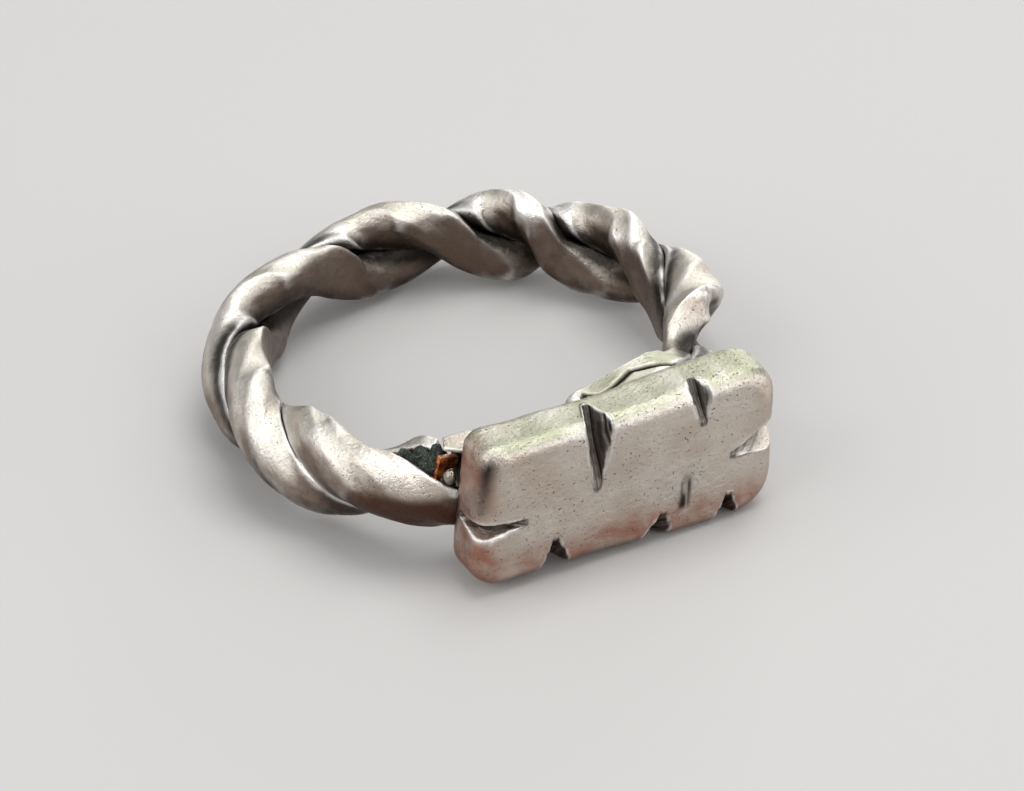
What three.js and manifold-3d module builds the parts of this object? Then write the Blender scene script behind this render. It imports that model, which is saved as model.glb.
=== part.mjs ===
// A hand-made silver finger ring: two strands twisted together into an open band, closed at the front
// by a solid bar with file cuts round its edges. Millimetres, +Z up. The ring lies on its side, with
// the finger hole along Z, the bar in front (towards -Y) and everything standing on Z = 0.
import * as THREE from "three";
import { mergeVertices } from "three/addons/utils/BufferGeometryUtils.js";
import Module from "manifold-3d";

const wasm = await Module();
wasm.setup();
const { degToRad, smoothstep, lerp } = THREE.MathUtils;

// ---- driving dimensions ----
const gap = 0.12; // clearance left wherever two pieces meet
const tall = 20; // longer than anything it has to cut through

const bar = { left: -6.35, right: 8.15, height: 7.4, back: -9.3, depth: 2.5 };
bar.front = bar.back - bar.depth;
bar.edgeRadius = 0.9; // all round the front and back faces
bar.cornerRadius = 1.5; // of the outline seen from the front
bar.lean = 0.4; // how much further left the left end reaches at its foot than at its top

const band = { radiusX: 10.4, radiusY: 10.35, centreY: 0.15 }; // of the centreline
band.width = 4.4; // across both strands
band.thickness = 2.9; // of a strand, measured the other way
band.radialSquash = 0.76; // the twist is hammered thinner on a mandrel
band.inside = 0.85; // what stands further in than this, from the centreline, is hammered flatter
band.insideFlattening = 0.75;
band.insideEase = 0.25; // how gradually that starts
band.slope = 0.055; // radians: the tall bar lifts the front of the band
band.height = 2.99; // of the centreline, midway between front and back
band.outerCorner = 0.6; // radius of a strand's outer edges
band.innerCorner = 1.0; // radius of its edges in the groove between the strands
band.leftEnd = 236; // degrees round the ring, counter-clockwise from +X
band.rightEnd = -58;
band.steps = 98;
// Half turns of twist made by each angle, going clockwise. At whole numbers a strand crests on top:
// strand b at even ones and strand a at odd ones. Towards the right end the twist dies out.
band.halfTurns = [
  [243, 0], [204, 1], [172, 2], [146, 2.5], [128, 3], [101, 3.5], [86, 4], [66, 4.5], [53, 5],
  [42, 5.5], [25, 6], [-13, 7], [-34, 7.38], [-58, 7.46],
];
// There the band is also drawn in towards the finger, and hammered thinner.
band.rightInset = 1.15;
band.insetFrom = 20;
band.insetTo = -22;
band.rightThinness = 0.68;
band.thinFrom = -5;
band.thinTo = -35;
// At the left end the strands spread apart, each by its own distance.
band.spreadFrom = 212;
band.spreadTo = 234;
band.spreadA = 0.1;
band.spreadB = 0.6;

const shimThickness = 0.25;
const plate = { bottom: 1.6, top: 6.0, lip: 0.45 }; // the lip overhangs at its left end
const tongue = { bottom: 1.3, top: 6.3, tip: -0.3, root: 6.6 }; // strand a's flat end, behind the bar

// ---- helpers ----
function solid(geometry) {
  const bare = new THREE.BufferGeometry().setAttribute("position", geometry.getAttribute("position"));
  if (geometry.index) bare.setIndex(geometry.index);
  const merged = mergeVertices(bare, 1e-4);
  const vertProperties = merged.getAttribute("position").array;
  const triVerts = new Uint32Array(merged.index.array);
  return new wasm.Manifold(new wasm.Mesh({ numProp: 3, vertProperties, triVerts }));
}

function geometryOf(manifold) {
  const { vertProperties, triVerts } = manifold.getMesh();
  const geometry = new THREE.BufferGeometry();
  geometry.setAttribute("position", new THREE.BufferAttribute(vertProperties, 3));
  geometry.setIndex(new THREE.BufferAttribute(triVerts, 1));
  geometry.computeVertexNormals();
  return geometry;
}

const points = (...pairs) => pairs.map(([x, y]) => new THREE.Vector2(x, y));

function block(x0, x1, y0, y1, z0, z1) {
  const box = new THREE.BoxGeometry(x1 - x0, y1 - y0, z1 - z0);
  return solid(box.translate((x0 + x1) / 2, (y0 + y1) / 2, (z0 + z1) / 2));
}

// A rectangle whose corners at x0 have radius r0 and whose corners at x1 have radius r1.
function roundedRectangle(x0, x1, y0, y1, r0, r1 = r0) {
  const shape = new THREE.Shape();
  shape.absarc(x1 - r1, y1 - r1, r1, 0, Math.PI / 2);
  shape.absarc(x0 + r0, y1 - r0, r0, Math.PI / 2, Math.PI);
  shape.absarc(x0 + r0, y0 + r0, r0, Math.PI, 1.5 * Math.PI);
  shape.absarc(x1 - r1, y0 + r1, r1, 1.5 * Math.PI, 2 * Math.PI);
  return shape;
}

// ---- the bar ----
function barBlank() {
  const r = bar.edgeRadius;
  const outline = roundedRectangle(bar.left + r, bar.right - r, r, bar.height - r, bar.cornerRadius - r);
  const depth = bar.depth - 2 * r;
  const rounding = { bevelThickness: r, bevelSize: r, bevelSegments: 5, curveSegments: 4 };
  const blank = new THREE.ExtrudeGeometry(outline, { depth, ...rounding });
  const position = blank.getAttribute("position");
  for (let i = 0; i < position.count; i++) {
    const leftward = smoothstep(-position.getX(i), 0, -bar.left - r);
    position.setX(i, position.getX(i) + bar.lean * leftward * (position.getY(i) / bar.height - 0.5));
  }
  return blank.rotateX(Math.PI / 2).translate(0, bar.back - r, 0); // drawn in X and Z, pushed along -Y
}

// A groove from a three-cornered file. Its root runs from a point on the front face to a point on the
// side that it crosses to, and it opens halfway between the two faces.
function fileCut({ front, side, facing, openness }) {
  const along = side.clone().sub(front).normalize();
  const outward = facing.clone().add(new THREE.Vector3(0, -1, 0));
  const open = outward.addScaledVector(along, -outward.dot(along)).normalize();
  const across = new THREE.Vector3().crossVectors(open, along);
  const [length, height] = [14, 4];
  const wedge = new THREE.Shape([
    new THREE.Vector2(0, 0),
    new THREE.Vector2(height * openness, height),
    new THREE.Vector2(-height * openness, height),
  ]);
  const cutter = new THREE.ExtrudeGeometry(wedge, { depth: length, bevelEnabled: false });
  const middle = front.clone().lerp(side, 0.5);
  return cutter
    .translate(0, 0, -length / 2)
    .applyMatrix4(new THREE.Matrix4().makeBasis(across, open, along).setPosition(middle));
}

const [toLeft, toRight] = [new THREE.Vector3(-1, 0, 0), new THREE.Vector3(1, 0, 0)];
const [toTop, toBottom] = [new THREE.Vector3(0, 0, 1), new THREE.Vector3(0, 0, -1)];
const onFront = (x, z) => new THREE.Vector3(x, bar.front, z);
const onTop = (x, inward) => new THREE.Vector3(x, bar.front + inward, bar.height);
const onBottom = (x, inward) => new THREE.Vector3(x, bar.front + inward, 0);
const onLeft = (z, inward) => new THREE.Vector3(bar.left, bar.front + inward, z);
const onRight = (z, inward) => new THREE.Vector3(bar.right, bar.front + inward, z);

const fileCuts = [
  { front: onFront(-0.75, 4.1), side: onTop(-0.65, 1.6), facing: toTop, openness: 0.5 },
  { front: onFront(4.65, 5.7), side: onTop(4.2, 1.1), facing: toTop, openness: 0.55 },
  { front: onFront(-2.65, 1.9), side: onBottom(-2.65, 2.0), facing: toBottom, openness: 0.5 },
  { front: onFront(2.9, 1.4), side: onBottom(2.0, 2.0), facing: toBottom, openness: 0.6 },
  { front: onFront(6.1, 1.4), side: onBottom(5.8, 1.9), facing: toBottom, openness: 0.5 },
  { front: onFront(-4.4, 3.8), side: onLeft(4.2, 2.0), facing: toLeft, openness: 0.45 },
  { front: onFront(5.9, 3.5), side: onRight(4.4, 1.7), facing: toRight, openness: 0.5 },
];

function barSolid() {
  return fileCuts.reduce((left, cut) => left.subtract(solid(fileCut(cut))), solid(barBlank()));
}

// ---- the twisted band ----
const twist = new THREE.CubicInterpolant(
  band.halfTurns.map(([angle]) => -angle),
  band.halfTurns.map(([angle, halfTurns]) => halfTurns * Math.PI),
  1,
);

// One strand, made straight along z from 0 to 1 and then bent round the ring and twisted. In its
// section, x points away from the other strand.
function strandBlank(side, spread) {
  const [x0, x1, y] = [gap / 2, band.width / 2, band.thickness / 2];
  const section = roundedRectangle(x0, x1, -y, y, band.innerCorner, band.outerCorner);
  const straight = new THREE.ExtrudeGeometry(section, {
    depth: 1, steps: band.steps, bevelEnabled: false, curveSegments: 4,
  });
  const position = straight.getAttribute("position");
  for (let i = 0; i < position.count; i++) {
    const angle = lerp(band.leftEnd, band.rightEnd, position.getZ(i));
    const [turn] = twist.evaluate(-angle);
    const x = side * (position.getX(i) + spread * smoothstep(angle, band.spreadFrom, band.spreadTo));
    const thinning = smoothstep(-angle, -band.thinFrom, -band.thinTo);
    const y = side * position.getY(i) * lerp(1, band.rightThinness, thinning);
    const inset = band.rightInset * smoothstep(-angle, -band.insetFrom, -band.insetTo);
    const twisted = -(x * Math.sin(turn) + y * Math.cos(turn)) * band.radialSquash;
    const proud = Math.max(-twisted - band.inside, 0);
    const outward = twisted + (band.insideFlattening * proud ** 2) / (proud + band.insideEase) - inset;
    const up = x * Math.cos(turn) - y * Math.sin(turn);
    const round = degToRad(angle);
    position.setXYZ(
      i,
      (band.radiusX + outward) * Math.cos(round),
      band.centreY + (band.radiusY + outward) * Math.sin(round),
      up,
    );
  }
  return straight.rotateX(-band.slope).translate(0, 0, band.height);
}

// Both strands stop short of the bar's left end and of its back.
const frontOfHole = -5; // Y
const leftStop = block(bar.left - bar.lean / 2 - gap, 0, -tall, frontOfHole, -tall, tall);
const rightStop = block(0, tall, -tall, bar.back + gap, -tall, tall);
const trimmed = (blank) => solid(blank).subtract(leftStop).subtract(rightStop);

function tongueBlank() {
  const outer = bar.back + gap;
  const plan = new THREE.Shape();
  plan.moveTo(tongue.tip, outer);
  plan.lineTo(tongue.root, outer);
  plan.lineTo(tongue.root, -7.4);
  plan.lineTo(5.0, -6.95);
  plan.splineThru(points([3.6, -7.4], [1.7, -7.6], [tongue.tip, -8.05]));
  const depth = tongue.top - tongue.bottom;
  const geometry = new THREE.ExtrudeGeometry(plan, { depth, curveSegments: 6, bevelEnabled: false });
  return geometry.translate(0, 0, tongue.bottom);
}

const strandA = () => trimmed(strandBlank(-1, band.spreadA)).add(solid(tongueBlank()));
const strandB = () => trimmed(strandBlank(1, band.spreadB));

// ---- what fills the joints: a thin plate, a copper shim, solder and rough filler ----
function plateSolid() {
  const face = bar.back + gap;
  const plan = new THREE.Shape(
    points([-6.3, -8.65], [-5.5, face], [-1.9, face], [-0.55, -8.5], [-1.5, -8.8]),
  );
  plan.splineThru(points([-2.7, -8.4], [-4.3, -8.05], [-6.0, -7.9]));
  const side = new THREE.Shape(
    points(
      [-7, plate.top], [-7, plate.top - plate.lip], [-5.9, plate.top - plate.lip], [-5.5, plate.top - 0.8],
      [-5.5, plate.bottom], [1, plate.bottom], [1, plate.top],
    ),
  );
  const upright = new THREE.ExtrudeGeometry(plan, { depth: tall, bevelEnabled: false, curveSegments: 12 });
  const across = new THREE.ExtrudeGeometry(side, { depth: tall, bevelEnabled: false });
  return solid(upright).intersect(solid(across.rotateX(Math.PI / 2)));
}

function copperShim() {
  const outline = new THREE.Shape(
    points([-6.4, 5.45], [-6.8, 4.25], [-6.5, 4.5], [-6.3, 4.85], [-6.1, 5.05], [-5.7, 5], [-5.6, 5.2]),
  );
  const geometry = new THREE.ExtrudeGeometry(outline, { depth: shimThickness, bevelEnabled: false });
  return solid(geometry.rotateX(Math.PI / 2).translate(0, -8.4, 0)); // from Y = -8.4 towards the bar
}

function nugget([x, y, z], [rx, ry, rz], roughness) {
  const ball = new THREE.IcosahedronGeometry(1, 7);
  const position = ball.getAttribute("position");
  const point = new THREE.Vector3();
  for (let i = 0; i < position.count; i++) {
    point.fromBufferAttribute(position, i);
    const lumps = Math.sin(7 * point.x + 2) * Math.sin(8 * point.y) * Math.sin(6 * point.z + 1);
    point.multiplyScalar(1 + roughness * lumps);
    position.setXYZ(i, point.x, point.y, point.z);
  }
  return solid(ball.scale(rx, ry, rz).translate(x, y, z));
}

// What is left of a nugget once its neighbours are taken out of it.
function squeezed(lump, neighbours) {
  const rest = neighbours.reduce((left, neighbour) => left.subtract(neighbour), lump);
  return rest.decompose().reduce((largest, part) => (part.volume() > largest.volume() ? part : largest));
}

// ---- assembly ----
const [barBody, plateBody, copper] = [barSolid(), plateSolid(), copperShim()];
const b = strandB();
const a = squeezed(strandA(), [b]);
const bead = squeezed(nugget([-6.3, -9.2, 4.9], [0.3, 0.3, 0.34], 0.05), [barBody, plateBody, a, b]);
const filler = squeezed(nugget([-7.0, -8.1, 3.9], [1.0, 1.2, 1.15], 0.12), [
  leftStop, plateBody, copper, bead, a, b,
]);
const solder = squeezed(nugget([6.9, -8.5, 3.9], [1.0, 0.8, 1.3], 0.08), [rightStop, barBody, a, b]);

const wornSilver = new THREE.MeshStandardMaterial({ color: 0xc4beb2, roughness: 0.33, metalness: 1 });
const dullSilver = new THREE.MeshStandardMaterial({ color: 0xb3aa9e, roughness: 0.42, metalness: 1 });
const brightCopper = new THREE.MeshStandardMaterial({ color: 0xc8622f, roughness: 0.35, metalness: 1 });
const darkFiller = new THREE.MeshStandardMaterial({ color: 0x1f2420, roughness: 0.6, metalness: 0.2 });

const pieces = [
  ["bezel_bar", barBody, wornSilver],
  ["twist_strand_a", a, dullSilver],
  ["twist_strand_b", b, dullSilver],
  ["backing_plate", plateBody, wornSilver],
  ["copper_shim", copper, brightCopper],
  ["left_filler", filler, darkFiller],
  ["solder_bead", bead, wornSilver],
  ["right_solder", solder, dullSilver],
];

const ring = new THREE.Group();
for (const [name, body, material] of pieces) {
  const mesh = new THREE.Mesh(geometryOf(body), material);
  mesh.name = name;
  ring.add(mesh);
}
export default ring;
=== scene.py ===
import bpy
import numpy as np
from mathutils import Matrix, Vector
from mathutils.kdtree import KDTree


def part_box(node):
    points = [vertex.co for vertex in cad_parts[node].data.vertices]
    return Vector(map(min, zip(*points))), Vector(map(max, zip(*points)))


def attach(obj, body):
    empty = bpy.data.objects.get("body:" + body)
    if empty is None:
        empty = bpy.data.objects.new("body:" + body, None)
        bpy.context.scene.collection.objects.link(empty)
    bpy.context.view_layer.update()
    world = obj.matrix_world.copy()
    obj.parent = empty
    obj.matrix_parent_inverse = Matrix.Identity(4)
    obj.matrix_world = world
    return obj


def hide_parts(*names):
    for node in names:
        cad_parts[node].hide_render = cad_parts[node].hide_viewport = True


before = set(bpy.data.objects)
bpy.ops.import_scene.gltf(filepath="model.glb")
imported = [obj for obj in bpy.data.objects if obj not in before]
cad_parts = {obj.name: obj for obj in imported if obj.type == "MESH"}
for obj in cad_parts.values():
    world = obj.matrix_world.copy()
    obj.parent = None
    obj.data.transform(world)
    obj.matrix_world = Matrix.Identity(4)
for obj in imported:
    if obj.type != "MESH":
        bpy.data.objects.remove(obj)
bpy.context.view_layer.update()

MM = 0.001
COARSE = 1

# ---- sizes in millimetres; the bar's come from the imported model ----
bar_low, bar_high = (np.array(corner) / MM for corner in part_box("bezel_bar"))
BAR_FRONT, BAR_BACK = bar_low[1], bar_high[1]
BAR_LEFT, BAR_RIGHT, BAR_TOP = bar_low[0], bar_high[0], bar_high[2]

RADIUS_X, RADIUS_Y, CENTRE_Y = 10.4, 10.35, 0.15  # the band's centreline
STRAND_WIDTH, STRAND_THICKNESS = 2.0, 2.95
SQUASH = 0.76  # how much the twist is flattened against the finger
SLOPE, BAND_HEIGHT = 0.055, 2.99  # the bar lifts the front of the band
REST_WEAR = 0.15  # how far up the wear reaches where the ring rests on its lowest ridges
MM_PER_DEGREE = 0.185  # along the band
RING_SPACING, POINTS_AROUND = 0.075 * COARSE, 136 // COARSE  # of a strand's mesh

# Where each strand starts and ends, in degrees anticlockwise from +X about the ring's centre.
A_ENDS, B_ENDS = (239, -103.5), (232.3, -66)

# How deep the dents of a hammered skin are: the broad ones, the small ones and the fine roughness.
BROAD_DENTS, SMALL_DENTS, SKIN_ROUGHNESS = 0.07, 0.035, 0.012


# ---- noise ----
def lattice(ix, iy, iz, seed):
    """A number from -1 to 1 for each whole-numbered point."""
    h = ix * 374761393 + iy * 668265263 + iz * 2147483647 + seed * 974711
    h = (h ^ (h >> 13)) * 1274126177
    h = (h ^ (h >> 16)) & 0xFFFFFF
    return h / float(0x7FFFFF) - 1


def noise(points, size, seed=0):
    """Smooth noise from -1 to 1 with lumps of about that size."""
    p = np.asarray(points) / size
    cell = np.floor(p).astype(np.int64)
    f = p - cell
    f = f * f * f * (f * (f * 6 - 15) + 10)
    total = np.zeros(len(p))
    for corner in range(8):
        step = np.array([corner & 1, corner >> 1 & 1, corner >> 2])
        weight = np.prod(np.where(step == 1, f, 1 - f), axis=1)
        total += weight * lattice(*(cell + step).T, seed)
    return total


def rough_noise(points, size, seed=0, octaves=3):
    return sum(noise(points, size / 2**i, seed + i) / 2**i for i in range(octaves)) / 1.5


def ramp(x, start, end):
    """0 before start, 1 after end, smooth in between."""
    t = np.clip((np.asarray(x, float) - start) / (end - start), 0, 1)
    return t * t * (3 - 2 * t)


def through(x, *keys):
    """A smooth curve through (x, value) keys with rising x, which never overshoots a key."""
    xs = np.array([k[0] for k in keys], float)
    ys = np.array([k[1] for k in keys], float)
    steepness = np.diff(ys) / np.diff(xs)
    before, after = steepness[:-1], steepness[1:]
    same_way = before * after > 0
    middle = np.where(same_way, 2 * before * after / np.where(same_way, before + after, 1), 0)
    slopes = np.concatenate([steepness[:1], middle, steepness[-1:]])
    x = np.clip(np.asarray(x, float), xs[0], xs[-1])
    i = np.clip(np.searchsorted(xs, x) - 1, 0, len(xs) - 2)
    width = xs[i + 1] - xs[i]
    t = (x - xs[i]) / width
    a, b = 1 - t, t
    bend = a * (slopes[i] * width - (ys[i + 1] - ys[i])) + b * (ys[i + 1] - ys[i] - slopes[i + 1] * width)
    return a * ys[i] + b * ys[i + 1] + a * b * bend


# ---- meshes ----
def mesh_object(name, verts, faces):
    mesh = bpy.data.meshes.new(name)
    mesh.from_pydata(np.asarray(verts).tolist(), [], [list(map(int, f)) for f in faces])
    mesh.update()
    obj = bpy.data.objects.new(name, mesh)
    bpy.context.scene.collection.objects.link(obj)
    return obj


def loft(name, rings):
    """A closed body through rings of points, all with as many points, with a fan on each end."""
    rings = np.asarray(rings)
    count, around, _ = rings.shape
    verts = rings.reshape(-1, 3)
    i, j = np.meshgrid(np.arange(count - 1), np.arange(around), indexing="ij")
    k = (j + 1) % around
    quads = np.stack([i * around + j, i * around + k, (i + 1) * around + k, (i + 1) * around + j], -1)
    faces = quads.reshape(-1, 4).tolist()
    verts = np.vstack([verts, rings[0].mean(0), rings[-1].mean(0)])
    first, last = len(verts) - 2, len(verts) - 1
    for j in range(around):
        k = (j + 1) % around
        faces.append([first, k, j])
        faces.append([last, (count - 1) * around + j, (count - 1) * around + k])
    return mesh_object(name, verts, faces)


def coords(obj):
    flat = np.empty(len(obj.data.vertices) * 3)
    obj.data.vertices.foreach_get("co", flat)
    return flat.reshape(-1, 3)


def set_coords(obj, points):
    obj.data.vertices.foreach_set("co", np.ascontiguousarray(points, dtype=float).ravel())
    obj.data.update()


def normals(obj):
    flat = np.empty(len(obj.data.vertices) * 3)
    obj.data.vertices.foreach_get("normal", flat)
    return flat.reshape(-1, 3)


def bake_modifiers(obj):
    """Replaces obj's mesh by what its modifiers make of it."""
    evaluated = obj.evaluated_get(bpy.context.evaluated_depsgraph_get())
    mesh = bpy.data.meshes.new_from_object(evaluated)
    obj.modifiers.clear()
    obj.data = mesh
    return obj


def remesh(obj, voxel):
    modifier = obj.modifiers.new("remesh", "REMESH")
    modifier.mode = "VOXEL"
    modifier.voxel_size = voxel * COARSE
    return bake_modifiers(obj)


def smooth(obj, times):
    modifier = obj.modifiers.new("smooth", "SMOOTH")
    modifier.iterations, modifier.factor = times, 0.5
    return bake_modifiers(obj)


def cut(obj, cutters, operation="DIFFERENCE"):
    for cutter in cutters:
        modifier = obj.modifiers.new("cut", "BOOLEAN")
        modifier.operation, modifier.object, modifier.solver = operation, cutter, "EXACT"
    bake_modifiers(obj)
    for cutter in cutters:
        bpy.data.objects.remove(cutter)
    return obj


def remember(obj, name, values):
    attribute = obj.data.attributes.new(name, "FLOAT", "POINT")
    attribute.data.foreach_set("value", np.asarray(values, dtype=np.float32))


def finish_piece(obj, material, node):
    """From millimetres to metres, then smooth shading, its material and its place in the frame."""
    set_coords(obj, coords(obj) * MM)
    obj.data.polygons.foreach_set("use_smooth", np.ones(len(obj.data.polygons), dtype=bool))
    obj.data.materials.clear()
    obj.data.materials.append(material)
    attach(obj, "root")
    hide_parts(node)


def rounded_outline(corners, radii, count):
    """Evenly spaced points round a polygon whose corners are rounded to these radii."""
    corners = np.asarray(corners, float)
    path = []
    for i, corner in enumerate(corners):
        before = corners[i - 1] - corner
        after = corners[(i + 1) % len(corners)] - corner
        shorter = min(np.linalg.norm(before), np.linalg.norm(after))
        before, after = before / np.linalg.norm(before), after / np.linalg.norm(after)
        half = np.arccos(np.clip(before @ after, -1, 1)) / 2
        reach = min(radii[i] / np.tan(half), 0.49 * shorter)  # roundings never overlap
        radius = reach * np.tan(half)
        middle = before + after
        centre = corner + middle / np.linalg.norm(middle) * radius / np.sin(half)
        start, end = corner + before * reach - centre, corner + after * reach - centre
        share = np.linspace(0, 1, 9)[:, None]
        arms = start * (1 - share) + end * share
        path.append(centre + arms / np.linalg.norm(arms, axis=1, keepdims=True) * radius)
    path = np.vstack(path)
    closed = np.vstack([path, path[:1]])
    length = np.concatenate([[0], np.cumsum(np.linalg.norm(np.diff(closed, axis=0), axis=1))])
    at = np.linspace(0, length[-1], count, endpoint=False)
    return np.stack([np.interp(at, length, closed[:, axis]) for axis in range(2)], axis=1)


# ---- the twisted band ----
def half_turns(angle):
    """Half turns of twist by this angle round the ring; strand b crests on top at even ones."""
    return through(
        -np.asarray(angle), (-243, 0), (-204, 1), (-172, 2), (-146, 2.5), (-128, 3), (-101, 3.5),
        (-86, 4), (-66, 4.5), (-53, 5), (-42, 5.5), (-25, 6), (13, 7), (34, 7.38), (58, 7.46), (102, 7.5),
    )


LEAVES_RING = 45  # degrees clockwise from +X, where the band turns to run along the back of the bar
LAP_INSET = 1.0  # how far inside the ring's own line it is there


def spine(angle):
    """The band's centreline in plan, and the direction away from the finger, at this angle round the
    ring."""
    inset = through(
        -angle, (-30, 0), (-10, 0.15), (5, 0.7), (18, 1.25), (30, 1.25), (LEAVES_RING, LAP_INSET),
        (60, LAP_INSET),
    )
    turn = np.radians(angle)
    x = (RADIUS_X - inset) * np.cos(turn)
    y = CENTRE_Y + (RADIUS_Y - inset) * np.sin(turn)
    lap = -np.asarray(angle)
    leaves = np.radians(-LEAVES_RING)
    leaves_x = (RADIUS_X - LAP_INSET) * np.cos(leaves)
    leaves_y = CENTRE_Y + (RADIUS_Y - LAP_INSET) * np.sin(leaves)
    lap_x = through(
        lap, (35, 7.7), (LEAVES_RING, leaves_x), (57, 5.55), (69, 4.1), (81, 2.4), (93, 0.9), (104, -0.2),
    )
    lap_y = through(
        lap, (35, -5.2), (LEAVES_RING, leaves_y), (57, BAR_BACK + 1.55), (69, BAR_BACK + 0.65),
        (81, BAR_BACK + 0.55), (93, BAR_BACK + 0.45), (104, BAR_BACK + 0.15),
    )
    lapped = lap > LEAVES_RING
    centre = np.stack([np.where(lapped, lap_x, x), np.where(lapped, lap_y, y)], -1)
    along = np.gradient(centre, axis=0)
    along /= np.linalg.norm(along, axis=1, keepdims=True)
    return centre, np.stack([-along[:, 1], along[:, 0]], -1)


def wander(angles, seed, size, amount):
    """An uneven share near 1 that drifts with the angle round the ring."""
    line = np.stack([angles, 0 * angles, 0 * angles], -1)
    return 1 + amount * noise(line, size, seed)


def crispness(up, outward):
    """How sharp a ridge is: crisp inside the finger hole, worn round elsewhere."""
    return ramp(up, -0.3, 0.9) * (1 - ramp(outward, -1.3, -0.3))


CREST_THINNING, FOOT_FULLNESS = 0.14, 0.12  # shares of the upper half on top and the lower one below
FACE_TILT = 0.2  # how far a face leans as it wanders
SEAM_EDGE_LOW, SEAM_EDGE_HIGH = 0.22, 0.25  # radii
RIDGE_WORN, RIDGE_CRISPED = 1.25, 0.85  # a worn ridge's radius, and how much of it a crisp one loses
SEAM_OVERLAP = 0.03  # how far the strands press into each other
FUSED_SHARE = 0.97  # of its usual half thickness, which a strand fills where it is fused to the other
FLAT_FROM, FLATTENING, FLAT_EASE = 0.85, 0.75, 0.25  # of the inside, by the mandrel
FACE_FULLNESS = 0.2  # how far the faces between the ridges stand out


def strand(name, side, ends, shape, seed):
    """One strand. side is 1 for b and -1 for a. shape gives its spread from the other strand, its width
    and thickness as shares of the usual, its lift, the shares of its upper and lower halves, and its
    burr, at each angle round the ring."""
    start, end = ends
    angles = np.linspace(start, end, int(abs(end - start) * MM_PER_DEGREE / RING_SPACING))
    centre, away = spine(angles)
    spread, width, thickness, lift, high, low, burr = shape(angles)
    turn = half_turns(angles) * np.pi
    sine, cosine = side * np.sin(turn), side * np.cos(turn)
    half = STRAND_THICKNESS / 2
    width = STRAND_WIDTH * width * wander(angles, seed, 14, 0.05)
    high = half * high * wander(angles, seed + 1, 12, 0.08) * (1 - CREST_THINNING * ramp(cosine, 0, 1))
    low = half * low * wander(angles, seed + 2, 13, 0.08) * (1 + FOOT_FULLNESS * ramp(-cosine, 0, 1))
    tilt = FACE_TILT * noise(np.stack([angles, 0 * angles, 0 * angles], -1), 15, seed + 3)
    # Inside the finger hole the upper strand overhangs with a sharp edge and the lower one falls away.
    loose = ramp(-angles, -170, -150) - ramp(-angles, -20, 0)
    opening = 0.15 + 1.05 * loose
    worn = 1 - 0.7 * ramp(angles, 178, 190)
    radii = np.stack([
        SEAM_EDGE_LOW + opening * ramp(-cosine, -0.6, 0.5),
        RIDGE_WORN - RIDGE_CRISPED * worn * crispness(
            width * cosine + low * sine, -(width * sine - low * cosine) * SQUASH,
        ),
        RIDGE_WORN - RIDGE_CRISPED * worn * crispness(
            width * cosine - high * sine, -(width * sine + high * cosine) * SQUASH,
        ),
        SEAM_EDGE_HIGH + 0 * cosine,
    ], -1)
    overhang = 0.6 * ramp(cosine, 0.2, 0.9) * loose
    undercut = 0.85 * burr + 0.7 * ramp(-cosine, -0.3, 0.4) * loose
    # At the front left the two strands have been hammered into one, so their skins meet.
    fused = ramp(angles, 168, 185)
    filled = FUSED_SHARE * half / thickness
    seam_low = (low + fused * (filled - low)) * (1 - undercut)
    seam_high = (high + fused * (filled - high)) * (1 - overhang)
    radii[:, 1] -= 0.9 * burr
    radii = np.minimum(radii, 0.7 * np.minimum(low, high)[:, None])
    section = np.stack([
        rounded_outline(
            [(-SEAM_OVERLAP, -from_low), (w - t, -d), (w + t, h), (-SEAM_OVERLAP, to_high)], r,
            POINTS_AROUND,
        )
        for w, h, d, t, from_low, to_high, r in zip(width, high, low, tilt, seam_low, seam_high, radii)
    ])
    # The faces between the ridges are a little full.
    across = section[:, :, 1] / np.where(section[:, :, 1] > 0, high[:, None], low[:, None])
    section[:, :, 0] += FACE_FULLNESS * ramp(section[:, :, 0] / width[:, None], 0.6, 1) * (1 - across**2)
    u = section[:, :, 0] + spread[:, None]
    v = section[:, :, 1] * thickness[:, None]
    sine, cosine = sine[:, None], cosine[:, None]
    outward = -(u * sine + v * cosine) * SQUASH
    # The mandrel has flattened the inside.
    proud = np.maximum(-outward - FLAT_FROM, 0)
    outward = outward + FLATTENING * proud**2 / (proud + FLAT_EASE)
    up = u * cosine - v * sine + lift[:, None]
    x = centre[:, None, 0] + away[:, None, 0] * outward
    y = centre[:, None, 1] + away[:, None, 1] * outward
    z = BAND_HEIGHT + up - SLOPE * y
    return loft(name, np.stack([x, y, z], -1))


def hammer(obj, seed):
    """Softens a strand, dents its skin, and wears it where it rests on the table."""
    smooth(obj, 3 // COARSE)
    points, outward = coords(obj), normals(obj)
    depth = BROAD_DENTS * noise(points, 2.6, seed) + SMALL_DENTS * noise(points, 1.1, seed + 5)
    depth += SKIN_ROUGHNESS * rough_noise(points, 0.45, seed + 9)
    points = points + outward * depth[:, None]
    # The lowest ridges are worn where the ring rests on them.
    low = points[:, 2] < REST_WEAR
    points[low, 2] = REST_WEAR * np.exp(points[low, 2] / REST_WEAR - 1)
    set_coords(obj, points)


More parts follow.
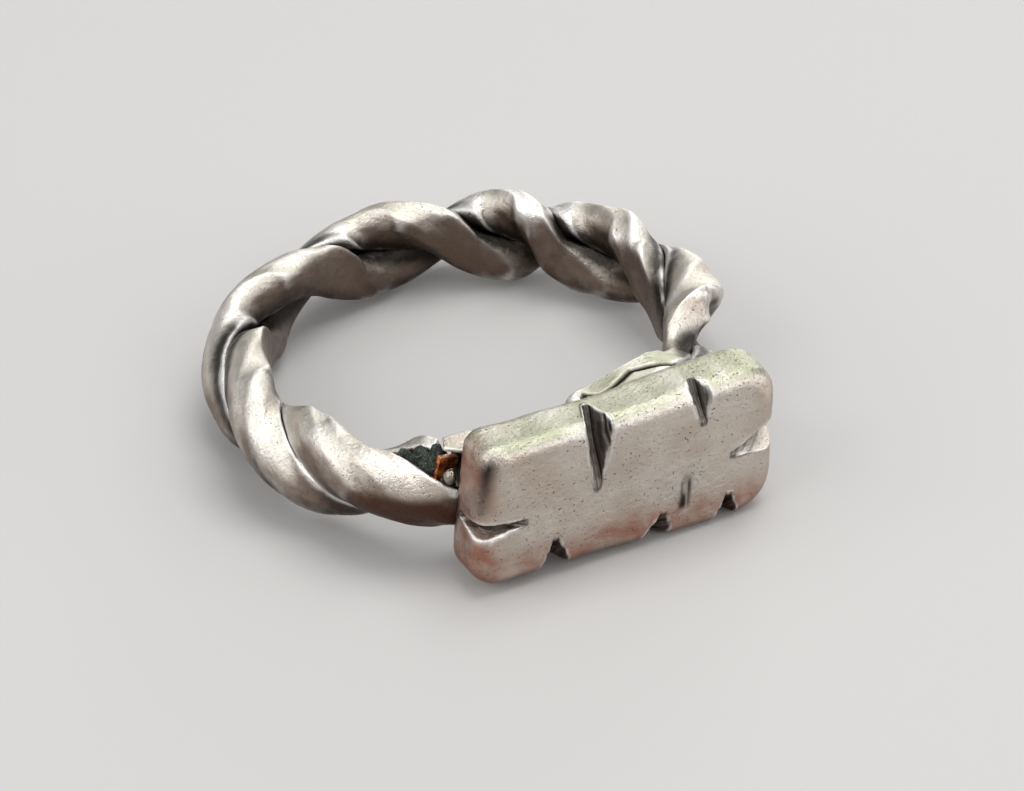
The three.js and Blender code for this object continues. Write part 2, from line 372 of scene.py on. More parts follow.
def shape_a(angle):
    """Butts against the bar at the left. At the right it has a torn burr, then a neck, then the tongue."""
    left, lap = ramp(angle, 211, 235), -np.asarray(angle)
    spread = 0.3 * left - 0.7 * ramp(lap, 66, 82)
    width = through(
        lap, (-236, 0.78), (-222, 0.9), (-208, 1), (0, 1), (20, 0.95), (30, 0.8), (45, 0.85), (55, 0.95),
        (64, 1.35), (74, 1.45), (84, 1.35), (94, 1.2), (103, 1.0),
    )
    thickness = through(
        lap, (-236, 0.72), (-224, 0.9), (-208, 1), (-5, 1), (34, 1), (45, 1.35), (57, 1.6), (69, 1.7),
        (84, 1.78), (102, 1.7),
    )
    lift = through(
        lap, (-236, 0.5), (-225, 0.35), (-208, 0), (30, 0), (45, 0.05), (57, 0.25), (72, 0.42), (102, 0.4),
    )
    high = through(lap, (-236, 1), (0, 1), (18, 0.65), (30, 0.5), (45, 0.8), (60, 1), (102, 1))
    low = through(
        lap, (-236, 1), (-5, 1), (6, 1.4), (13, 1.95), (17, 1.9), (21, 1.3), (25, 0.8), (32, 0.5), (48, 0.9),
        (60, 1), (102, 1),
    )
    burr = ramp(lap, 4, 12) - ramp(lap, 15, 23)
    return spread, width, thickness, lift, high, low, burr


def shape_b(angle):
    """Parts from strand a at the left, where its end is crushed, and thins under it at the right."""
    left, lap = ramp(angle, 211, 233), -np.asarray(angle)
    spread = 1.15 * left
    crushed = ramp(angle, 225.5, B_ENDS[0])
    width = 1 - 0.55 * left - 0.12 * crushed
    thickness = 1 + 0.1 * left - 0.35 * crushed
    high = through(lap, (-236, 1), (-15, 1), (0, 0.6), (15, 0.3), (28, 0.4), (45, 0.9), (66, 0.9))
    low = through(lap, (-236, 1), (-10, 1), (5, 0.8), (15, 0.45), (30, 0.4), (45, 0.85), (66, 0.85))
    width = width - 0.3 * (ramp(lap, 2, 14) - ramp(lap, 36, 50))
    lift = 0.3 * left + 0.5 * ramp(lap, 25, 45)
    return spread, width, thickness, lift, high, low, 0 * left


TONGUE_SPLIT = [  # in plan
    (0.25, -8.75), (0.55, -8.4), (1.1, -8.75), (2.3, -8.45), (2.9, -8.15), (4.2, -8.3), (5.6, -8.5),
]
SPLIT_REACH, SPLIT_DEPTH = 0.17, 0.112


def line_share(points, line, reach):
    """1 on a line seen in plan, falling to 0 at reach to either side of it."""
    gap = np.full(len(points), reach)
    for start, end in zip(np.array(line[:-1]), np.array(line[1:])):
        share = np.clip((points[:, :2] - start) @ (end - start) / np.sum((end - start) ** 2), 0, 1)
        away = points[:, :2] - start - share[:, None] * (end - start)
        gap = np.minimum(gap, np.linalg.norm(away, axis=1))
    return 1 - ramp(gap, 0.3 * reach, reach)


def twist_strands():
    a = strand("strand_a", -1, A_ENDS, shape_a, 200)
    b = strand("strand_b", 1, B_ENDS, shape_b, 300)
    hammer(a, 3)
    hammer(b, 31)
    points = coords(a)
    split = line_share(points, TONGUE_SPLIT, SPLIT_REACH) * ramp(points[:, 2], 5.2, 5.9)
    set_coords(a, points - normals(a) * split[:, None] * SPLIT_DEPTH)
    # Painted shade: the shallow crack in the tongue is painted near black along its line.
    remember(a, "painted_dark", split)
    return a, b


# ---- the bar ----
def on_front(x, z):
    """A point on the bar's front face."""
    return np.array([x, BAR_FRONT, z])


def on_side(x, inward, z):
    """A point on the top, foot or an end of the bar, this far behind the front face."""
    return np.array([x, BAR_FRONT + inward, z])


LEFT, RIGHT, TOP, BOTTOM = (np.array(v, float) for v in ((-1, 0, 0), (1, 0, 0), (0, 0, 1), (0, 0, -1)))
# Each cut's root runs from a point on the front face to a point on the side it crosses to. Then come the
# way that side faces and how fast the cut widens from its root.
FILE_CUTS = [
    (on_front(-0.7, 4.1), on_side(-0.5, 1.6, BAR_TOP), TOP, 0.4),
    (on_front(4.35, 5.7), on_side(4.2, 1.1, BAR_TOP), TOP, 0.42),
    (on_front(-2.65, 1.9), on_side(-2.65, 2.0, 0), BOTTOM, 0.5),
    (on_front(2.5, 1.4), on_side(1.7, 2.0, 0), BOTTOM, 0.6),
    (on_front(5.75, 1.4), on_side(5.45, 1.9, 0), BOTTOM, 0.5),
    (on_front(-4.15, 3.45), on_side(BAR_LEFT, 1.9, 3.5), LEFT, 0.26),
    (on_front(5.9, 3.5), on_side(BAR_RIGHT, 1.7, 4.4), RIGHT, 0.5),
]
CUT_ROOT = 0.14  # half the width of a cut's flat root
CUTTER_HALF_LENGTH, CUTTER_HEIGHT = 7, 4
BAR_EDGE, BAR_LEAN = 0.65, 0.45  # the worn round of its edges, and how far its left end leans in
BAR_CORNERS = [1.35, 1.7, 1.45, 0.75]  # radii seen from the front, anticlockwise from the bottom left
BAR_OUTLINE_POINTS, BAR_VOXEL = 210, 0.052
END_WEAR_LEFT, END_WEAR_RIGHT = 0.1, 0.15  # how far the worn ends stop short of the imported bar's
REFLECTION_STREAK_TOP, REFLECTION_STREAK_FOOT = np.array((-5.85, -11.65, 6.7)), np.array((-6.1, -11.5, 4.5))
SCRAPE_X, SCRAPE_LEAN, SCRAPE_HALF_WIDTH, SCRAPE_DEPTH = 3.35, 0.1, 0.28, 0.05


def cut_frame(front, side, facing):
    """The middle of a cut's root, and the ways along the root, out of the cut and across it."""
    along = (side - front) / np.linalg.norm(side - front)
    opening = facing + np.array([0, -1, 0])
    opening = opening - (opening @ along) * along
    opening /= np.linalg.norm(opening)
    return (front + side) / 2, along, opening, np.cross(opening, along)


def wedge(number, front, side, facing, openness):
    """What the file takes away in one cut."""
    middle, along, opening, across = cut_frame(front, side, facing)
    rings = []
    half_width = CUT_ROOT + CUTTER_HEIGHT * openness
    for s in (-CUTTER_HALF_LENGTH, CUTTER_HALF_LENGTH):
        root = middle + along * s
        edges = [root + opening * CUTTER_HEIGHT + across * half_width * way for way in (1, -1)]
        rings.append([root + across * CUT_ROOT, *edges, root - across * CUT_ROOT])
    return loft(f"wedge_{number}", rings)


def bar():
    left, right = BAR_LEFT + END_WEAR_LEFT, BAR_RIGHT - END_WEAR_RIGHT
    corners = [(left - BAR_LEAN / 2, 0), (right, 0), (right, BAR_TOP), (left + BAR_LEAN, BAR_TOP)]
    outline = rounded_outline(corners, BAR_CORNERS, BAR_OUTLINE_POINTS)
    centre = np.array([(left + right) / 2, BAR_TOP / 2])
    half_size = np.array([right - left, BAR_TOP]) / 2
    quarter = np.linspace(0, np.pi / 2, 8)
    steps = [(BAR_BACK - BAR_EDGE * (1 - np.cos(t)), BAR_EDGE * (1 - np.sin(t))) for t in quarter]
    steps += [(BAR_FRONT + BAR_EDGE * (1 - np.cos(t)), BAR_EDGE * (1 - np.sin(t))) for t in quarter[::-1]]
    rings = []
    for y, inset in steps:
        shrunk = centre + (outline - centre) * (1 - inset / half_size)
        rings.append(np.stack([shrunk[:, 0], np.full(len(shrunk), y), shrunk[:, 1]], -1))
    blank = loft("bar", rings)
    cut(blank, [wedge(i, *spec) for i, spec in enumerate(FILE_CUTS)])
    obj = remesh(blank, BAR_VOXEL)
    points = coords(obj)
    filed = np.zeros(len(points))
    stroke = np.zeros(len(points))
    for front, side, facing, openness in FILE_CUTS:
        middle, _, opening, across = cut_frame(front, side, facing)
        local = points - middle
        depth, sideways = local @ opening, local @ across
        wall = (np.abs(sideways) - CUT_ROOT - depth * openness) / np.sqrt(1 + openness**2)
        near = (1 - ramp(wall, 0.02, 0.1)) * ramp(depth, -0.15, -0.05) * (depth < 3.2)
        if facing[0]:  # the cuts in the ends are darkened and filed-marked only near their roots, so their lips stay pale
            near *= 1 - 0.85 * ramp(depth, 0.35, 0.75)
        stroke = np.where(near > filed, sideways + 0.06 * noise(points, 1.2, 77), stroke)
        filed = np.maximum(filed, near)
    remember(obj, "filed", filed)
    remember(obj, "stroke", stroke)
    # A painted dark reflection runs down the left front edge, and the foot and the left end have a red
    # painted reflection of the table.
    run = REFLECTION_STREAK_FOOT - REFLECTION_STREAK_TOP
    share = np.clip((points - REFLECTION_STREAK_TOP) @ run / np.sum(run**2), 0, 1)
    gap = np.linalg.norm(points - REFLECTION_STREAK_TOP - share[:, None] * run, axis=1)
    painted_dark = np.exp(-((gap / (0.42 - 0.12 * share)) ** 2)) * (1 - 0.45 * share)
    # An old scrape right of the middle holds dirt.
    across_scrape = (points[:, 0] - SCRAPE_X - SCRAPE_LEAN * points[:, 2]) / SCRAPE_HALF_WIDTH
    scraped = np.exp(-(across_scrape**4)) * (points[:, 1] < BAR_FRONT + 0.3)
    scraped *= ramp(points[:, 2], 1.1, 1.6) * (1 - ramp(points[:, 2], 2.6, 3.4))
    stripes = noise(points * (1, 0, 0.15), 0.13, 64)
    remember(obj, "painted_dark", np.maximum(painted_dark, scraped * np.clip(0.7 + 0.6 * stripes, 0.2, 0.95)))
    # Where the bar gets the painted green reflection: its top.
    remember(obj, "green_reflection_area", ramp(points[:, 2], 4.5, 5.8))
    # Painted reflection of the table, low on the bar and at its left end.
    table_reflection = (1 - ramp(points[:, 2], 0.8, 2.8)) + (1 - ramp(points[:, 0], BAR_LEFT + 0.3, BAR_LEFT + 1.3))
    remember(obj, "table_reflection", np.clip(table_reflection * (0.8 + 0.6 * noise(points, 1.6, 63)), 0, 1))
    outward = normals(obj)
    depth = BROAD_DENTS * noise(points, 3.2, 50) + SMALL_DENTS * noise(points, 1.3, 51)
    depth += SKIN_ROUGHNESS * rough_noise(points, 0.5, 52) + 0.006 * noise(points, 0.16, 57)
    depth *= 1 - 0.7 * filed
    ridges = noise(np.stack([stroke, 0 * stroke, 0 * stroke], -1), 0.11, 60)
    depth += filed * (0.03 * ridges + 0.02 * noise(points, 0.3, 61))
    depth -= scraped * SCRAPE_DEPTH * (0.6 + ridges * 0.4)
    moved = points + outward * depth[:, None]
    # Wear has lifted the left half of the lower edge and hollowed the middle of the upper one.
    foot = 1 - ramp(points[:, 2], 0, 3)
    moved[:, 2] += 0.35 * foot * (1 - ramp(points[:, 0], -3, 6))
    crown = ramp(points[:, 2], 4.5, BAR_TOP)
    moved[:, 2] -= 0.16 * crown * np.exp(-(((points[:, 0] - 0.5) / 4) ** 2))
    moved[:, 2] = np.maximum(moved[:, 2], 0)
    set_coords(obj, moved)
    return obj


# ---- the plate behind the bar and the small pieces in the joints ----
PLATE_BOTTOM, PLATE_TOP = 1.6, 6.0
LIP_BOTTOM, LIP_INNER_END = 5.78, -5.5  # of the plate's lip over the copper
COPPER_BACK, COPPER_FRONT = -8.4, -8.66


def slab(name, outline, low, high):
    """A plate standing on a plan outline (anticlockwise seen from above) between two heights."""
    rings = [[(x, y, z) for x, y in outline] for z in (low, high)]
    return remesh(loft(name, rings), 0.04)


def backing_plate():
    body = [
        (-6.3, -8.65), (-5.5, BAR_BACK + 0.02), (-1.9, BAR_BACK + 0.02), (-0.55, -8.5), (-1.5, -8.8),
        (-2.7, -8.4), (-4.3, -8.05), (-6.0, -7.9),
    ]
    obj = slab("backing_plate", body, PLATE_BOTTOM, PLATE_TOP)
    points = coords(obj)
    # Left of the bar only the top is left, as a lip over the copper.
    outside = (points[:, 0] < LIP_INNER_END) & (points[:, 2] < LIP_BOTTOM)
    torn = LIP_INNER_END + 0.15 * noise(points[outside], 0.8, 8)
    points[outside, 0] = np.maximum(points[outside, 0], torn)
    set_coords(obj, points)
    obj = smooth(remesh(obj, 0.045), 4)
    points, outward = coords(obj), normals(obj)
    depth = 0.03 * noise(points, 1.0, 80) + 0.02 * rough_noise(points, 0.35, 81)
    set_coords(obj, points + outward * depth[:, None])
    return obj


def lump(name, centre, radii, seed, bumps, size):
    """An uneven melted or packed mass."""
    bpy.ops.mesh.primitive_ico_sphere_add(subdivisions=5, radius=1)
    obj = bpy.context.active_object
    obj.name = name
    shape = coords(obj)
    spread = 1 + bumps * rough_noise(shape * radii, size, seed, 4)
    set_coords(obj, np.array(centre) + shape * spread[:, None] * radii)
    return obj


def packed_filler():
    """Dark packing in the open end of the band."""
    lumps = [
        lump("filler", (-6.7, -7.5, 4.15), (0.75, 0.8, 1.05), 101, 0.3, 0.6),
        lump("filler_left", (-7.25, -6.95, 4.1), (0.5, 0.55, 0.9), 104, 0.3, 0.5),
        lump("filler_front", (-6.7, -8.3, 3.5), (0.55, 0.6, 0.9), 105, 0.3, 0.5),
        lump("filler_right", (-6.35, -8.15, 4.75), (0.5, 0.45, 0.95), 108, 0.3, 0.5),
        lump("filler_low", (-6.25, -8.8, 3.95), (0.45, 0.4, 0.65), 109, 0.3, 0.5),
    ]
    obj = remesh(cut(lumps[0], lumps[1:], "UNION"), 0.035)
    points, outward = coords(obj), normals(obj)
    depth = 0.05 * rough_noise(points, 0.3, 106) + 0.03 * rough_noise(points, 0.12, 107)
    set_coords(obj, points + outward * depth[:, None])
    return obj


def copper_shim():
    """A torn sliver, drawn from the front."""
    outline = np.array([
        (-6.45, 5.55), (-6.9, 3.9), (-6.58, 4.2), (-6.32, 4.7), (-6.1, 4.95), (-5.7, 4.85), (-5.6, 5.3),
    ])
    rings = [[(x, y, z) for x, z in outline] for y in (COPPER_BACK, COPPER_FRONT)]
    obj = smooth(remesh(loft("copper", rings), 0.02), 3)
    points, outward = coords(obj), normals(obj)
    set_coords(obj, points + outward * (0.035 * rough_noise(points, 0.3, 90))[:, None])
    return obj


# ---- materials ----
class Look:
    """A procedural material. add() makes a node and gives one of its outputs."""

    def __init__(self, name):
        self.material = bpy.data.materials.new(name)
        self.material.use_nodes = True
        self.tree = self.material.node_tree
        self.shader = self.tree.nodes["Principled BSDF"]
        place = self.add("TexCoord", output="Object")
        self.mm = self.add("VectorMath", {0: place, "Scale": 1000.0}, operation="SCALE")
        facing = self.add("NewGeometry", output="Normal")
        self.up = self.add("SeparateXYZ", {0: facing}, output="Z")

    def add(self, kind, inputs=(), output=0, **settings):
        node = self.tree.nodes.new("ShaderNode" + kind)
        for key, value in settings.items():
            setattr(node, key, value)
        for key, value in dict(inputs).items():
            self.put(node.inputs[key], value)
        return node.outputs[output]

    def put(self, socket, value):
        if isinstance(value, bpy.types.NodeSocket):
            self.tree.links.new(value, socket)
        else:
            socket.default_value = value

    def noise(self, size, detail=2.0, stretch=None):
        """Noise from 0 to 1 with lumps of about that many millimetres."""
        place = self.mm
        if stretch:
            place = self.add("VectorMath", {0: place, 1: stretch}, operation="MULTIPLY")
        return self.add("TexNoise", {"Vector": place, "Scale": 1 / size, "Detail": detail})

    def share(self, value, low, high, to=1.0, base=0.0):
        inputs = {"Value": value, "From Min": low, "From Max": high, "To Min": base, "To Max": to}
        return self.add("MapRange", inputs, interpolation_type="SMOOTHSTEP")

    def maths(self, operation, a, b):
        return self.add("Math", {0: a, 1: b}, operation=operation)

    def mix(self, share, a, b):
        a, b = (c if isinstance(c, bpy.types.NodeSocket) else (*c, 1) for c in (a, b))
        return self.add("Mix", {0: share, 6: a, 7: b}, output=2, data_type="RGBA")

    def value(self, name):
        return self.add("Attribute", output="Fac", attribute_name=name)

    def finish(self, colour, roughness, height, depth, metallic=1.0):
        """depth is the height of the bumps in millimetres."""
        self.put(self.shader.inputs["Base Color"], colour)
        self.put(self.shader.inputs["Roughness"], roughness)
        self.put(self.shader.inputs["Metallic"], metallic)
        bump = self.add("Bump", {"Height": height, "Strength": 1.0, "Distance": depth * MM})
        self.put(self.shader.inputs["Normal"], bump)
        return self.material


SILVER, WARM_SILVER, DULL_REFLECTION = (0.80, 0.75, 0.68), (0.56, 0.46, 0.38), (0.46, 0.46, 0.36)
# The two browns are painted shade and table reflection; the near black is real oxide and dirt in pits and a
# scrape, and painted shade elsewhere.
SIDE_SHADE_TINT, DEEP_SHADE_TINT, OXIDE_AND_SHADE_BLACK = (0.14, 0.085, 0.056), (0.05, 0.029, 0.019), (0.014, 0.011, 0.009)
RED_BROWN = (0.085, 0.042, 0.03)
# Painted reflections: a green one on faces turned up, and a rose one from the table.
OLIVE_REFLECTION, ROSE_REFLECTION = (0.41, 0.415, 0.30), (0.36, 0.16, 0.11)
BARE_AND_HIGHLIGHT = (0.93, 0.90, 0.87)  # silver rubbed clean on the ridges, and a painted highlight there
BUMP_SILVER, BUMP_COPPER, BUMP_DIRT, BUMP_SOLDER = 0.028, 0.02, 0.06, 0.03  # millimetres
COPPER, DARK_COPPER, COPPER_HIGHLIGHT = (0.72, 0.27, 0.10), (0.30, 0.075, 0.03), (0.95, 0.60, 0.38)
DIRT, GREEN_DIRT, PAINTED_GLINT = (0.012, 0.014, 0.012), (0.045, 0.06, 0.045), (0.32, 0.36, 0.30)


def worn_shaded_silver(name, green=0.3, side_shade=0.85, pits=0.5, seam=(0.28, 0.72)):
    """Silver polished on top, with painted light: brown painted shade and table reflection on its sides,
    under it and low on the inside, a painted green reflection on faces turned up, painted black shade in
    seams, hollows and file cuts, and a painted highlight on its ridges. seam is how near another piece is
    where the painted black starts and where it is full."""
    look = Look(name)
    broad, middle = look.noise(2.6, 3.0), look.noise(0.55, 4.0)
    fine, grain = look.noise(0.16, 4.0), look.noise(0.05, 2.0)
    colour = look.mix(look.share(broad, 0.35, 0.7, 0.7), SILVER, WARM_SILVER)
    patchy = look.maths(
        "ADD", look.maths("MULTIPLY", look.maths("SUBTRACT", broad, 0.5), 0.9),
        look.maths("MULTIPLY", look.maths("SUBTRACT", middle, 0.5), 0.35),
    )
    # Painted shade: sides and undersides are painted brown, darker the more they face down, standing in for
    # shade and a brown table's reflection.
    lean = look.maths("ADD", look.up, patchy)
    colour = look.mix(look.share(lean, 0.6, 0.05, side_shade), colour, SIDE_SHADE_TINT)
    colour = look.mix(look.share(lean, 0.0, -0.4, side_shade), colour, DEEP_SHADE_TINT)
    # Painted reflection: faces turned up are painted dull greenish silver and patchy green, a greenish
    # reflection from above, most on the bar's top and the band by its front.
    tops = look.share(look.up, 0.45, 0.9)
    patches = look.share(look.noise(1.5, 4.0, (1, 0.7, 1)), 0.32, 0.58)
    green_reflection_area = look.maths("MAXIMUM", look.value("green_reflection_area"), green)
    colour = look.mix(look.maths("MULTIPLY", look.maths("MULTIPLY", tops, green_reflection_area), 0.6), colour, DULL_REFLECTION)
    colour = look.mix(look.maths("MULTIPLY", look.maths("MULTIPLY", tops, patches), green_reflection_area), colour, OLIVE_REFLECTION)
    # Painted shade: the inside of the band, low down, is painted dark brown.
    shaded_inside = look.maths("MULTIPLY", look.value("inside"), look.share(broad, 0.3, 0.65, 0.8, 0.3))
    colour = look.mix(shaded_inside, colour, DEEP_SHADE_TINT)
    blotches = look.share(look.noise(0.9, 5.0), 0.3, 0.6, 0.95, 0.4)
    # Painted reflection: the bar's foot and left end are painted rose, a warm reflection of the table.
    colour = look.mix(look.maths("MULTIPLY", look.value("table_reflection"), blotches), colour, ROSE_REFLECTION)
    # Red-brown, low on the strands beside the left joint.
    colour = look.mix(look.value("red_brown_by_joint"), colour, RED_BROWN)
    # Painted dark: a scrape's real dirt on the bar, a painted dark reflection down its left front edge, and
    # painted shade in the crack of strand a's tongue.
    colour = look.mix(look.value("painted_dark"), colour, OXIDE_AND_SHADE_BLACK)
    # Painted shade: black where another piece is near, in the seams between the strands and where the bar
    # meets the tongue and the plate.
    uneven = look.maths("MULTIPLY", look.maths("SUBTRACT", middle, 0.5), 0.3)
    close = look.maths("ADD", look.value("close"), uneven)
    colour = look.mix(look.share(close, *seam, 0.93), colour, OXIDE_AND_SHADE_BLACK)
    # Painted shade: black in the hollows of the skin.
    slightly = look.maths("MULTIPLY", look.maths("SUBTRACT", middle, 0.5), 0.05)
    hollow_shade = look.maths("ADD", look.value("hollow"), slightly)
    colour = look.mix(look.share(hollow_shade, 0.04, 0.15, 0.9), colour, OXIDE_AND_SHADE_BLACK)
    # File cuts: dirt along the file strokes and painted shade in the notches, most on faces turned up.
    filed = look.value("filed")
    strokes = look.add("CombineXYZ", {0: look.value("stroke")})
    lines = look.add("TexNoise", {"Vector": strokes, "Scale": 9.0, "Detail": 4.0})
    filed_grit_and_shade = look.maths("MULTIPLY", filed, look.share(lines, 0.38, 0.62, 0.4, 0.95))
    filed_grit_and_shade = look.maths("MULTIPLY", filed_grit_and_shade, look.share(look.up, 0.6, 0.9, 0.3, 1.0))
    colour = look.mix(filed_grit_and_shade, colour, OXIDE_AND_SHADE_BLACK)
    specks = look.share(look.noise(0.11, 3.0), 0.62, 0.72, pits)
    colour = look.mix(specks, colour, OXIDE_AND_SHADE_BLACK)
    # Ridges are painted near white: silver rubbed clean, and a painted highlight.
    clear_of_joint_red = look.share(look.value("red_brown_by_joint"), 0.2, 0.6, 0.0, 1.0)
    rubbed_and_highlit = look.maths("MULTIPLY", look.share(hollow_shade, -0.02, -0.10, 0.65), clear_of_joint_red)
    colour = look.mix(rubbed_and_highlit, colour, BARE_AND_HIGHLIGHT)
    dulled = look.share(hollow_shade, 0.0, 0.1, 0.25)
    roughness = look.maths("ADD", look.share(middle, 0.3, 0.7, 0.46, 0.28), dulled)
    scratches = look.noise(0.12, 3.0, (0.12, 1, 1))
    height = look.maths("ADD", look.maths("MULTIPLY", grain, 0.9), look.maths("MULTIPLY", fine, 1.1))
    height = look.maths("ADD", height, look.maths("MULTIPLY", scratches, 0.35))
    height = look.maths("SUBTRACT", height, look.maths("MULTIPLY", specks, 1.2))
    height = look.maths("ADD", height, look.maths("MULTIPLY", look.maths("MULTIPLY", filed, lines), 2.0))
    return look.finish(colour, roughness, height, BUMP_SILVER)


def bright_copper(name):
    look = Look(name)
    middle, fine = look.noise(0.25, 4.0), look.noise(0.05, 3.0)
    colour = look.mix(look.share(middle, 0.35, 0.65), COPPER, DARK_COPPER)
    # Painted highlight: faces of the copper turned up are painted light orange.
    colour = look.mix(look.share(look.up, 0.3, 0.95, 0.7), colour, COPPER_HIGHLIGHT)
    return look.finish(colour, look.share(fine, 0.3, 0.7, 0.5, 0.25), fine, BUMP_COPPER)


def packed_dirt(name):
    look = Look(name)
    middle, fine = look.noise(0.3, 5.0), look.noise(0.06, 3.0)
    colour = look.mix(look.share(middle, 0.4, 0.62), DIRT, GREEN_DIRT)
    # Painted glints: bright specks stand in for sparkle off the filler's glossy coat.
    colour = look.mix(look.share(fine, 0.62, 0.7, 0.8), colour, PAINTED_GLINT)
    roughness = look.share(fine, 0.4, 0.7, 0.35, 0.7)
    return look.finish(colour, roughness, look.maths("ADD", middle, fine), BUMP_DIRT, metallic=0.3)


def shaded_old_solder(name, bright, dull):
    look = Look(name)
    middle, fine = look.noise(0.35, 4.0), look.noise(0.07, 3.0)
    colour = look.mix(look.share(middle, 0.35, 0.65), bright, dull)
    # Painted shade: black in the hollows.
    colour = look.mix(look.share(look.value("hollow"), 0.01, 0.08, 0.9), colour, OXIDE_AND_SHADE_BLACK)
    roughness = look.share(middle, 0.3, 0.7, 0.55, 0.3)
    return look.finish(colour, roughness, look.maths("ADD", middle, fine), BUMP_SOLDER)


# ---- build ----
HOLLOW_SHADE_STEPS = 60  # how broad a hollow has to be to stop getting painted shade


def hollows(obj, steps):
    """How deep each point lies in a hollow of the skin, in millimetres: below 0 on ridges."""
    points, outward = coords(obj), normals(obj)
    pairs = np.empty(len(obj.data.edges) * 2, dtype=np.int32)
    obj.data.edges.foreach_get("vertices", pairs)
    a, b = pairs.reshape(-1, 2).T
    count = np.bincount(np.concatenate([a, b]), minlength=len(points))[:, None]
    average = points
    for _ in range(steps):
        sums = [
            np.bincount(a, average[b, axis], len(points)) + np.bincount(b, average[a, axis], len(points))
            for axis in range(3)
        ]
        average = (average + np.stack(sums, -1) / count) / 2
    remember(obj, "hollow", np.sum((average - points) * outward, axis=1))


def closeness(obj, others, reach):
    """1 where another piece touches, falling to 0 at reach millimetres away from it."""
    points = coords(obj)
    near = np.full(len(points), reach)
    for other in others:
        theirs = coords(other)[::3]
        tree = KDTree(len(theirs))
        for i, point in enumerate(theirs):
            tree.insert(point, i)
        tree.balance()
        near = np.minimum(near, [tree.find(point)[2] for point in points])
    left = np.degrees(np.arctan2(points[:, 1] - CENTRE_Y, points[:, 0])) % 360
    hammered_shut = 0.55 * ramp(left, 172, 190) * (1 - ramp(left, 228, 236))
    # This sets the painted black shade in seams and at contacts, less where the strands are hammered shut.
    remember(obj, "close", (1 - near / reach) * (1 - hammered_shut))


strand_a, strand_b = twist_strands()
bezel = bar()
plate = backing_plate()
copper = copper_shim()
filler = packed_filler()
bead = lump("small_solder_bead", (-6.3, -9.15, 4.85), (0.28, 0.3, 0.34), 102, 0.15, 0.3)
joint = lump("right_joint_solder", (6.9, -8.5, 3.9), (1.0, 0.85, 1.3), 103, 0.2, 0.8)

# Hollow depth sets painted shade in hollows and a painted highlight on ridges.
for piece in (strand_a, strand_b, bezel, plate, filler, bead, joint, copper):
    hollows(piece, HOLLOW_SHADE_STEPS // COARSE**2)
for piece in (strand_a, strand_b):
    points, outward = coords(piece), normals(piece)
    radial = points * (1, 1, 0)
    radial /= np.linalg.norm(radial, axis=1, keepdims=True)
    faces_in = np.clip(-np.sum(outward * radial, axis=1), 0, 1) * (1 - ramp(points[:, 2], 3.2, 5.8))
    # Red-brown darkening, low on the strands in front beside the left joint.
    by_joint = (1 - ramp(points[:, 1], -7.6, -5.8)) * (points[:, 0] < -4) * (1 - ramp(points[:, 2], 3.6, 4.3))
    # Painted shade: faces turned in toward the finger, low down, get the dark brown painted inside the band.
    remember(piece, "inside", 0.65 * faces_in)
    remember(piece, "red_brown_by_joint", by_joint * np.clip(1 + 0.4 * rough_noise(points, 0.6, 72), 0, 1))
    # Where the band gets the painted green reflection: in front, right of the middle.
    remember(piece, "green_reflection_area", (1 - ramp(points[:, 1], -7.2, -6.6)) * (points[:, 0] > -2))
closeness(strand_a, [strand_b], 1.5)
closeness(strand_b, [strand_a], 1.5)
closeness(bezel, [strand_a, plate], 0.8)
closeness(plate, [bezel, copper], 0.7)

silver_band = worn_shaded_silver("worn_shaded_silver_band")
silver_bar = worn_shaded_silver("worn_shaded_silver_bar", green=0.1, side_shade=0.3, pits=0.8, seam=(0.3, 0.9))
silver_plate = worn_shaded_silver("worn_shaded_silver_plate", seam=(0.3, 0.9))
PIECES = [
    (bezel, silver_bar, "bezel_bar", "bar_silver"),
    (strand_a, silver_band, "twist_strand_a", "band_silver"),
    (strand_b, silver_band, "twist_strand_b", "band_silver"),
    (plate, silver_plate, "backing_plate", "plate_silver"),
    (copper, bright_copper("bright_copper"), "copper_shim", "copper"),
    (filler, packed_dirt("packed_dirt"), "left_filler", "dark_filler"),
    # Painted shade: the bead's solder is painted much darker than the right joint's, as it sits in shadow.
    (bead, shaded_old_solder("shaded_old_solder", (0.34, 0.30, 0.26), (0.10, 0.08, 0.065)), "solder_bead", "solder"),
    (joint, shaded_old_solder("old_solder_right", (0.66, 0.63, 0.58), (0.26, 0.22, 0.19)), "right_solder", "solder"),
]
for piece, material, node, slot in PIECES:
    finish_piece(piece, material, node)

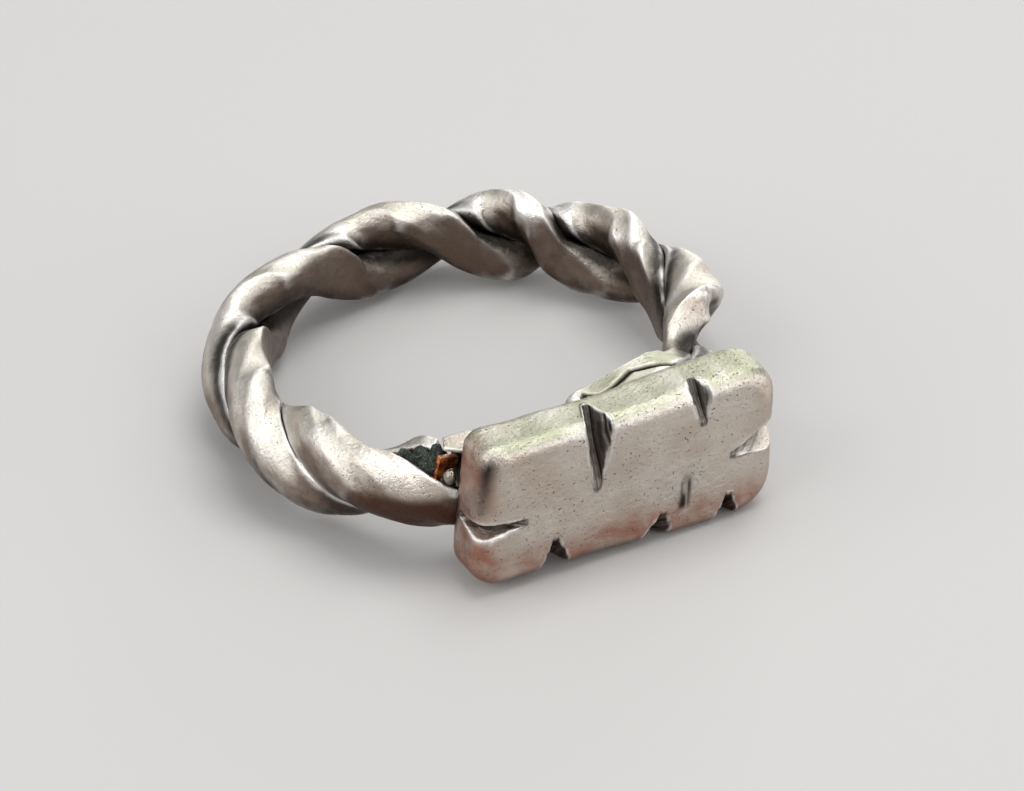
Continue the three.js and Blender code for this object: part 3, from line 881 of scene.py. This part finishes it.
# ---- camera, floor and light ----
# The camera looks from 28 degrees left of the bar's face and 36 degrees above it. Metres.
camera_data = bpy.data.cameras.new("camera")
camera_data.lens, camera_data.sensor_width = 161.2, 36  # both in millimetres
camera_data.clip_start = 0.01
camera = bpy.data.objects.new("camera", camera_data)
bpy.context.scene.collection.objects.link(camera)
right = Vector((0.8813, -0.4725, 0.0006)).normalized()
back = Vector((-0.3830, -0.7135, 0.5868)).normalized()
above = back.cross(right).normalized()
place = (-0.07613, -0.14475, 0.11953)
camera.matrix_world = Matrix([
    *((right[i], above[i], back[i], place[i]) for i in range(3)), (0, 0, 0, 1),
])
bpy.context.scene.camera = camera
bpy.context.scene.view_settings.view_transform = "Standard"

floor_look = Look("pale_floor")
floor_look.put(floor_look.shader.inputs["Base Color"], (0.46, 0.45, 0.435, 1))
floor_look.put(floor_look.shader.inputs["Roughness"], 0.8)
bpy.ops.mesh.primitive_plane_add(size=3)
floor = bpy.context.active_object
floor.name = "floor"
floor.data.materials.append(floor_look.material)

world = bpy.data.worlds.new("studio")
bpy.context.scene.world = world
world.use_nodes = True
sky = world.node_tree.nodes
height = sky.new("ShaderNodeSeparateXYZ")
glow = sky.new("ShaderNodeMapRange")
world.node_tree.links.new(sky.new("ShaderNodeTexCoord").outputs["Generated"], height.inputs[0])
world.node_tree.links.new(height.outputs["Z"], glow.inputs["Value"])
world.node_tree.links.new(glow.outputs[0], sky["Background"].inputs["Strength"])
for socket, amount in (("From Min", 0.08), ("From Max", 0.75), ("To Min", 0.05), ("To Max", 0.85)):
    glow.inputs[socket].default_value = amount
sky["Background"].inputs["Color"].default_value = (0.96, 0.97, 1, 1)


def softbox(name, direction, distance, size, power):
    """A square lamp this far from the origin, in metres, facing it."""
    data = bpy.data.lights.new(name, "AREA")
    data.size, data.energy = size, power
    lamp = bpy.data.objects.new(name, data)
    bpy.context.scene.collection.objects.link(lamp)
    away = Vector(direction).normalized()
    lamp.location = away * distance
    lamp.rotation_euler = away.to_track_quat("Z", "Y").to_euler()


softbox("overhead", (0.2, 0.0, 0.95), 0.30, 0.2, 0.52)
softbox("back_right", (0.75, 0.7, 0.15), 0.35, 0.22, 0.45)
softbox("front", (0.3, -0.7, 0.6), 0.35, 0.2, 0.15)
softbox("left", (-0.85, 0.0, 0.5), 0.35, 0.3, 0.6)
softbox("front_right", (0.7, -0.7, 0.12), 0.35, 0.2, 0.42)
